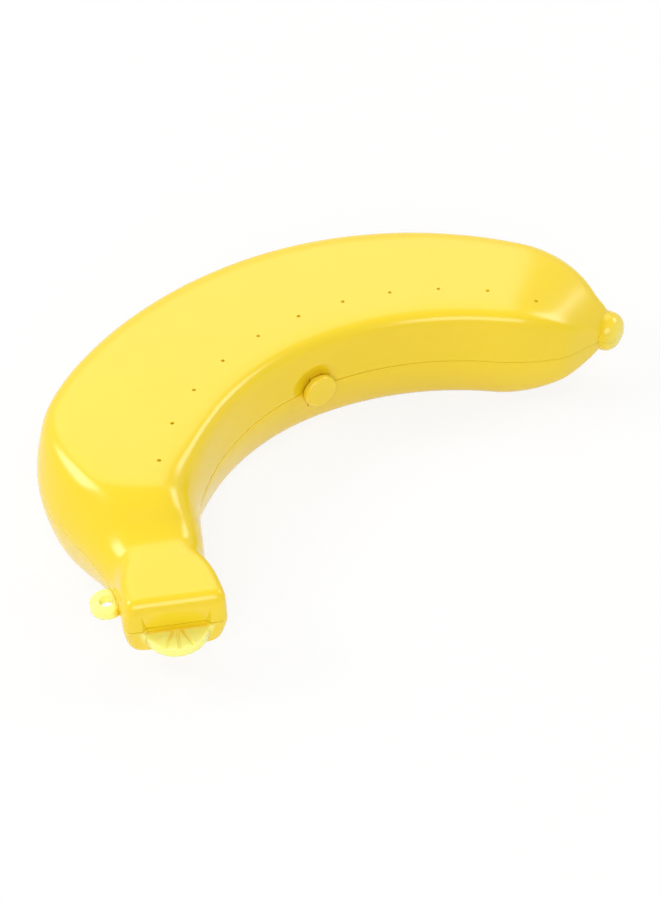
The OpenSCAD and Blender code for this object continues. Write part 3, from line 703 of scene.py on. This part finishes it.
def thumb_recess(form, fit):
    """The recess that slopes in from the hood down to the tongue's top."""
    depth, half, low, high = fit.recess_depth, fit.recess_w / 2, -fit.tongue_drop, fit.recess_h
    out = 2 * depth
    place = form.at_end()
    turn = Matrix.Translation((0, 2 * half, 0)) @ Matrix.Rotation(math.pi / 2, 4, "X")
    scoop = bar_of([(-depth, low), (out, low), (out, high), (0, high)], 4 * half, place @ turn)
    sides = bar_of([(-out, out - half), (out, -out - half), (out, half + out), (-out, half - out)], 4 * high,
                   place @ Matrix.Translation((0, 0, 2 * low)))
    combine(scoop, "INTERSECT", [sides])
    return scoop


def hinge_bore(form, fit):
    return rod(fit.pin_d + 2 * fit.pin_fit, 2 * fit.hinge_l, across(form, -fit.hinge_l, hinge_place(form, fit), 0))


def mark_thin(piece, form, fit):
    """Notes on each point how thin the section is, as a mark for the painted glow in the colour and for the deeper
    light under the surface: 1 on the tongue and the eye, less on the knob, 0 on the body.
    """
    knob = form.beside(-form.b.tip_arc, form.b.tip_shift + fit.knob_shift)
    outward = Vector((math.sin(form.turn(-form.b.tip_arc)), -math.cos(form.turn(-form.b.tip_arc)), 0))
    eye_s = form.stem_end - fit.eye_from_end
    wall_u = form.sides(eye_s, 0, 0)[1]
    eye = form.beside(eye_s, wall_u + fit.eye_out)
    outer = (eye - form.beside(eye_s, wall_u)).normalized()
    end = form.at_end().inverted()
    thin = piece.data.attributes.new("thin", "FLOAT", "POINT")
    for vert, value in zip(piece.data.vertices, thin.data):
        flat = Vector((vert.co.x, vert.co.y, 0))
        from_knob = flat - knob
        # The knob's painted glow grows towards its end
        on_knob = soft_rise(from_knob.dot(outward) / fit.knob_l) if from_knob.length < fit.knob_d else 0.0
        from_end = end @ vert.co
        below_seam = vert.co.z < form.seam_z - fit.tongue_drop / 2
        # On the tongue the painted glow rises from its root under the hood to the stem's end
        on_tongue = soft_rise(from_end.x / fit.recess_depth + 1)
        on_tongue = on_tongue if below_seam and abs(from_end.y) < fit.tongue_r + SLACK else 0.0
        from_eye = flat - eye
        level = abs(vert.co.z - form.seam_z) < fit.eye_t + form.b.seam
        on_eye = soft_rise(from_eye.dot(outer) / fit.eye_out + 1.2)
        on_eye = on_eye if level and from_eye.length < fit.eye_d / 2 + SLACK else 0.0
        value.value = max(KNOB_GLOW * on_knob, on_tongue, on_eye)


# Pieces

class AddUpperShell(bpy.types.Operator):
    """Models the upper shell with its half of the knob, hood, vents, finger recess and hinge knuckles"""
    bl_idname = "banana_case.add_upper_shell"
    bl_label = "Upper shell"

    def execute(self, context):
        form, fit = Form(context.scene), context.scene.case_fittings
        b = form.b
        kind = SimpleNamespace(front=b.lid_draft, neck=1, edge=b.hood_edge, draft=0.0)
        bm = form.half_shell(b.wall / 2, b.lip_h + b.lip_fit, 1.0, kind)
        bmesh.ops.translate(bm, vec=(0, 0, form.seam_z), verts=bm.verts)
        shell = object_of("upper_shell_moulding", close_up(bm))
        knob = knob_half(form, fit, True)
        combine(shell, "UNION", [knob] + knuckles(form, fit, 1, 1))
        row_r = b.spine_r - fit.vent_in
        vents = []
        for k in range(fit.vent_count):
            a = math.pi / 2 + fit.vent_turn + (k - (fit.vent_count - 1) / 2) * fit.vent_pitch / row_r
            place = (fit.vent_skew + row_r * math.cos(a), row_r * math.sin(a) - b.spine_r, form.seam_z + b.body_h / 4)
            vents.append(rod(fit.vent_d, b.body_h / 2, Matrix.Translation(place)))
        finger_r = (fit.finger_d ** 2 / 4 + fit.finger_depth ** 2) / 2 / fit.finger_depth
        finger = ball(finger_r, (0, form.front_y + fit.finger_depth - finger_r, form.seam_z + fit.finger_z))
        room = fit.nose_w / 2 + fit.latch_fit
        notch = block((-room, button_back(form, fit), form.seam_z - fit.nose_z),
                      (room, form.front_y + 2 * b.wall, form.seam_z + fit.nose_z + fit.nose_t + fit.latch_fit))
        combine(shell, "DIFFERENCE", [hinge_bore(form, fit), thumb_recess(form, fit), finger, notch] + vents)
        # Marks where the painted glow of the thin parts goes
        mark_thin(shell, form, fit)
        dress(shell, "lid", bpy.data.materials["moulded_polypropylene"], "upper_shell")
        return {"FINISHED"}


class AddLowerShell(bpy.types.Operator):
    """Models the lower shell with its half of the knob, thumb tongue, hanging eye, lip, latch boss and knuckles"""
    bl_idname = "banana_case.add_lower_shell"
    bl_label = "Lower shell"

    def execute(self, context):
        form, fit = Form(context.scene), context.scene.case_fittings
        b = form.b
        kind = SimpleNamespace(front=b.front_draft, neck=b.neck_share, edge=b.sole_edge, draft=b.end_draft)
        bm = form.half_shell(b.wall / 2 + b.lip_fit, -b.lip_h, form.seam_z, kind)
        bmesh.ops.scale(bm, vec=(1, 1, -1), verts=bm.verts)
        bmesh.ops.translate(bm, vec=(0, 0, form.seam_z), verts=bm.verts)
        shell = object_of("lower_shell_moulding", close_up(bm))
        combine(shell, "UNION", [knob_half(form, fit, False)] + knuckles(form, fit, 0, -1)
                + self.tongue(form, fit) + [self.eye(form, fit), self.boss(form, fit)])
        combine(shell, "DIFFERENCE", [hinge_bore(form, fit), thumb_recess(form, fit), self.eye_hole(form, fit)]
                + self.flutes(form, fit) + self.pocket(form, fit))
        # Marks where the painted glow of the thin parts goes
        mark_thin(shell, form, fit)
        dress(shell, "base", bpy.data.materials["moulded_polypropylene"], "lower_shell")
        return {"FINISHED"}

    def tongue(self, form, fit):
        """The round tongue under the hood, of which the back part is seated in the end wall."""
        place = form.at_end()
        low = -fit.tongue_drop - fit.tongue_t
        root = form.b.stem_wall - (form.b.stem_wall - fit.recess_depth) / 2
        r = fit.tongue_r
        disc = rod(2 * r, fit.tongue_t, place @ Matrix.Translation((fit.tongue_l - r, 0, low)), TONGUE_EDGE)
        combine(disc, "INTERSECT", [block((-root, -2 * r, low - r), (2 * r, 2 * r, low + r), place)])
        return [disc]

    def flutes(self, form, fit):
        """Shallow grooves that fan out over the tongue."""
        place = form.at_end() @ Matrix.Translation((fit.tongue_l - fit.tongue_r, 0, -fit.tongue_drop))
        start = fit.tongue_r - fit.tongue_l - fit.recess_depth / 2
        round_r = (fit.flute_w ** 2 / 4 + fit.flute_depth ** 2) / 2 / fit.flute_depth
        made = []
        for k in range(fit.flute_count):
            turn = Matrix.Rotation((k - (fit.flute_count - 1) / 2) * fit.flute_angle, 4, "Z")
            lie = Matrix.Translation((start, 0, round_r - fit.flute_depth)) @ Matrix.Rotation(math.pi / 2, 4, "Y")
            made.append(rod(2 * round_r, fit.tongue_r, place @ turn @ lie))
        return made

    def eye_place(self, form, fit):
        s = form.stem_end - fit.eye_from_end
        drop = Matrix.Translation((0, 0, -form.b.seam / 2 - fit.eye_t))
        return form.frame_at(s, form.sides(s, 0, 0)[1] + fit.eye_out) @ drop

    def eye(self, form, fit):
        return rod(fit.eye_d, fit.eye_t, self.eye_place(form, fit), EYE_EDGE)

    def eye_hole(self, form, fit):
        lower = Matrix.Translation((0, 0, -fit.eye_t))
        return rod(fit.eye_hole, 3 * fit.eye_t, self.eye_place(form, fit) @ lower)

    def boss(self, form, fit):
        """The block inside the wall that carries the latch pin."""
        inside = form.front_y + form.b.wall / 2
        far = form.front_y + fit.pivot_in + fit.barrel_d / 2 + fit.latch_fit + fit.boss_wall
        drop = fit.pivot_drop + fit.barrel_d / 2 + fit.latch_fit + fit.boss_wall
        rim = -form.b.seam / 2
        outline = [(inside, rim), (far, rim), (far, -drop), (inside + form.lean(drop, math.pi), -drop)]
        turn = Matrix(((0, 0, 1, 0), (1, 0, 0, 0), (0, 1, 0, 0), (0, 0, 0, 1)))
        return bar_of(outline, fit.latch_pin_l, Matrix.Translation((-fit.latch_pin_l / 2, 0, form.seam_z)) @ turn)

    def pocket(self, form, fit):
        """The room for the latch barrel, the slot for its neck and the bore for its pin."""
        y = form.front_y + fit.pivot_in
        back = button_back(form, fit)
        up = Matrix.Translation((0, 0, form.seam_z))
        r = fit.barrel_d / 2 + fit.latch_fit
        half = fit.barrel_l / 2 + fit.latch_fit
        slot = fit.neck_w / 2 + fit.latch_fit
        sweep = (y - back) * math.sin(fit.latch_swing)
        top = 2 * form.b.lip_h
        return [
            block((-half, y - r, -fit.pivot_drop - r), (half, y + r, top), up),
            block((-slot, back, -fit.pivot_drop - sweep), (slot, y, top), up),
            rod(fit.latch_pin_d + 2 * fit.pin_fit, 4 * fit.latch_pin_l,
                across(form, -2 * fit.latch_pin_l, y, -fit.pivot_drop)),
        ]


class AddLatch(bpy.types.Operator):
    """Models the latch button with its neck, pivot barrel and nose"""
    bl_idname = "banana_case.add_latch"
    bl_label = "Latch button"

    def execute(self, context):
        form, fit = Form(context.scene), context.scene.case_fittings
        back = button_back(form, fit)
        y = form.front_y + fit.pivot_in
        up = Matrix.Translation((0, 0, form.seam_z))
        r, rounding, t = fit.button_d / 2, fit.button_round, fit.button_t
        profile = [(0, 0)] + arc(r - SMALL_EDGE, SMALL_EDGE, SMALL_EDGE, -90, 0, 3)
        profile += arc(r - rounding, t - rounding, rounding, 0, 90, 8) + [(0, t)]
        face = Matrix.Translation((0, back, form.seam_z)) @ Matrix.Rotation(math.pi / 2, 4, "X")
        button = turned(profile, face)
        button.name = "latch_button_moulding"
        behind = back - t / 2
        combine(button, "UNION", [
            block((-fit.neck_w / 2, behind, -fit.pivot_drop),
                  (fit.neck_w / 2, y, -fit.pivot_drop + fit.barrel_d / 2), up),
            rod(fit.barrel_d, fit.barrel_l, across(form, -fit.barrel_l / 2, y, -fit.pivot_drop), SMALL_EDGE),
            block((-fit.nose_w / 2, behind, fit.nose_z),
                  (fit.nose_w / 2, form.front_y + fit.nose_in, fit.nose_z + fit.nose_t), up),
        ])
        bore = across(form, -fit.latch_pin_l, y, -fit.pivot_drop)
        combine(button, "DIFFERENCE", [rod(fit.latch_pin_d + 2 * fit.pin_fit, 2 * fit.latch_pin_l, bore)])
        dress(button, "latch", bpy.data.materials["button_polypropylene"], "latch_button")
        return {"FINISHED"}


class AddPins(bpy.types.Operator):
    """Models the headed hinge pin and the plain latch pin"""
    bl_idname = "banana_case.add_pins"
    bl_label = "Pins"

    def execute(self, context):
        form, fit = Form(context.scene), context.scene.case_fittings
        r, head_r, t, l = fit.pin_d / 2, fit.pin_head_d / 2, fit.pin_head_t, fit.hinge_l + fit.pin_fit
        crown = t / 3
        profile = [(0, 0), (r - PIN_EDGE, 0), (r, PIN_EDGE), (r, l), (head_r - HEAD_EDGE, l), (head_r, l + HEAD_EDGE)]
        profile += arc(head_r - crown, l + t - crown, crown, 0, 90, 5) + [(0, l + t)]
        pin = turned(profile, across(form, -fit.hinge_l / 2, hinge_place(form, fit), 0))
        pin.name = "hinge_pin_steel"
        dress(pin, "base", bpy.data.materials["drawn_steel"], "hinge_pin")
        y = form.front_y + fit.pivot_in
        middle = across(form, -fit.latch_pin_l / 2, y, -fit.pivot_drop)
        plain = rod(fit.latch_pin_d, fit.latch_pin_l, middle, PIN_EDGE)
        plain.name = "latch_pin_steel"
        dress(plain, "base", bpy.data.materials["drawn_steel"], "latch_pin")
        return {"FINISHED"}


class AddMaterials(bpy.types.Operator):
    """Makes the materials of the case"""
    bl_idname = "banana_case.add_materials"
    bl_label = "Materials"

    def execute(self, context):
        hues = context.scene.case_colours
        # The shells' yellow, with the painted glow of the thin parts
        polypropylene("moulded_polypropylene", hues.shell, hues.thin)
        polypropylene("button_polypropylene", hues.button, hues.button)
        drawn_steel("drawn_steel", hues.steel)
        return {"FINISHED"}


class AddStage(bpy.types.Operator):
    """Sets the floor, the studio light and the camera"""
    bl_idname = "banana_case.add_stage"
    bl_label = "Stage"

    def execute(self, context):
        scene = context.scene
        stage = scene.case_stage
        bm = bmesh.new()
        bmesh.ops.create_grid(bm, x_segments=1, y_segments=1, size=FLOOR_HALF)
        floor = object_of("studio_floor", bm)
        floor.data.materials.append(studio_floor("studio_paper", scene.case_colours.floor))
        for lamp in LAMPS:
            self.light(*lamp)
        self.world(scene)
        data = bpy.data.cameras.new("photo_camera")
        data.sensor_fit = "VERTICAL"
        data.sensor_height = 24
        data.lens = stage.lens
        data.clip_start = 0.01
        camera = bpy.data.objects.new("photo_camera", data)
        scene.collection.objects.link(camera)
        camera.location = stage.camera
        camera.rotation_euler = (Vector(stage.target) - Vector(stage.camera)).to_track_quat("-Z", "Y").to_euler()
        scene.camera = camera
        scene.view_settings.view_transform = "Standard"
        return {"FINISHED"}

    def light(self, name, place, width, depth, power):
        """A soft rectangular lamp that faces the case."""
        data = bpy.data.lights.new(name, "AREA")
        data.shape = "RECTANGLE"
        data.size = width
        data.size_y = depth
        data.energy = power
        lamp = bpy.data.objects.new(name, data)
        bpy.context.scene.collection.objects.link(lamp)
        lamp.location = place
        lamp.rotation_euler = (Vector(LAMP_TARGET) - Vector(place)).to_track_quat("-Z", "Y").to_euler()

    def world(self, scene):
        """Plain white surroundings, white to the camera and softer as light."""
        made = bpy.data.worlds.new("studio")
        scene.world = made
        made.use_nodes = True
        tree = made.node_tree
        tree.nodes.clear()
        light = add_node(tree, "ShaderNodeBackground", None, {"Color": (1, 1, 1, 1), "Strength": WORLD_LIGHT})
        seen = add_node(tree, "ShaderNodeBackground", None, {"Color": (1, 1, 1, 1), "Strength": 1.0})
        both = add_node(tree, "ShaderNodeMixShader")
        tree.links.new(seen_straight(tree), both.inputs[0])
        tree.links.new(light.outputs["Background"], both.inputs[1])
        tree.links.new(seen.outputs["Background"], both.inputs[2])
        add_node(tree, "ShaderNodeOutputWorld", None, {"Surface": both.outputs["Shader"]})


class CasePanel(bpy.types.Panel):
    """Lists the steps that build the case"""
    bl_idname = "VIEW3D_PT_banana_case"
    bl_label = "Banana carrying case"
    bl_space_type = "VIEW_3D"
    bl_region_type = "UI"
    bl_category = "Case"

    def draw(self, context):
        for step in STEPS:
            self.layout.operator(step.bl_idname)


STEPS = (AddMaterials, AddLowerShell, AddUpperShell, AddLatch, AddPins, AddStage)
GROUPS = {"case_body": BodySizes, "case_fittings": FittingSizes, "case_colours": CaseColours, "case_stage": StageSizes}


def register():
    for name, group in GROUPS.items():
        bpy.utils.register_class(group)
        setattr(bpy.types.Scene, name, PointerProperty(type=group))
    for step in STEPS + (CasePanel,):
        bpy.utils.register_class(step)


def unregister():
    for step in reversed(STEPS + (CasePanel,)):
        bpy.utils.unregister_class(step)
    for name, group in GROUPS.items():
        delattr(bpy.types.Scene, name)
        bpy.utils.unregister_class(group)


def main():
    register()
    bpy.ops.banana_case.add_materials()
    bpy.ops.banana_case.add_lower_shell()
    bpy.ops.banana_case.add_upper_shell()
    bpy.ops.banana_case.add_latch()
    bpy.ops.banana_case.add_pins()
    bpy.ops.banana_case.add_stage()


if __name__ == "__main__":
    main()
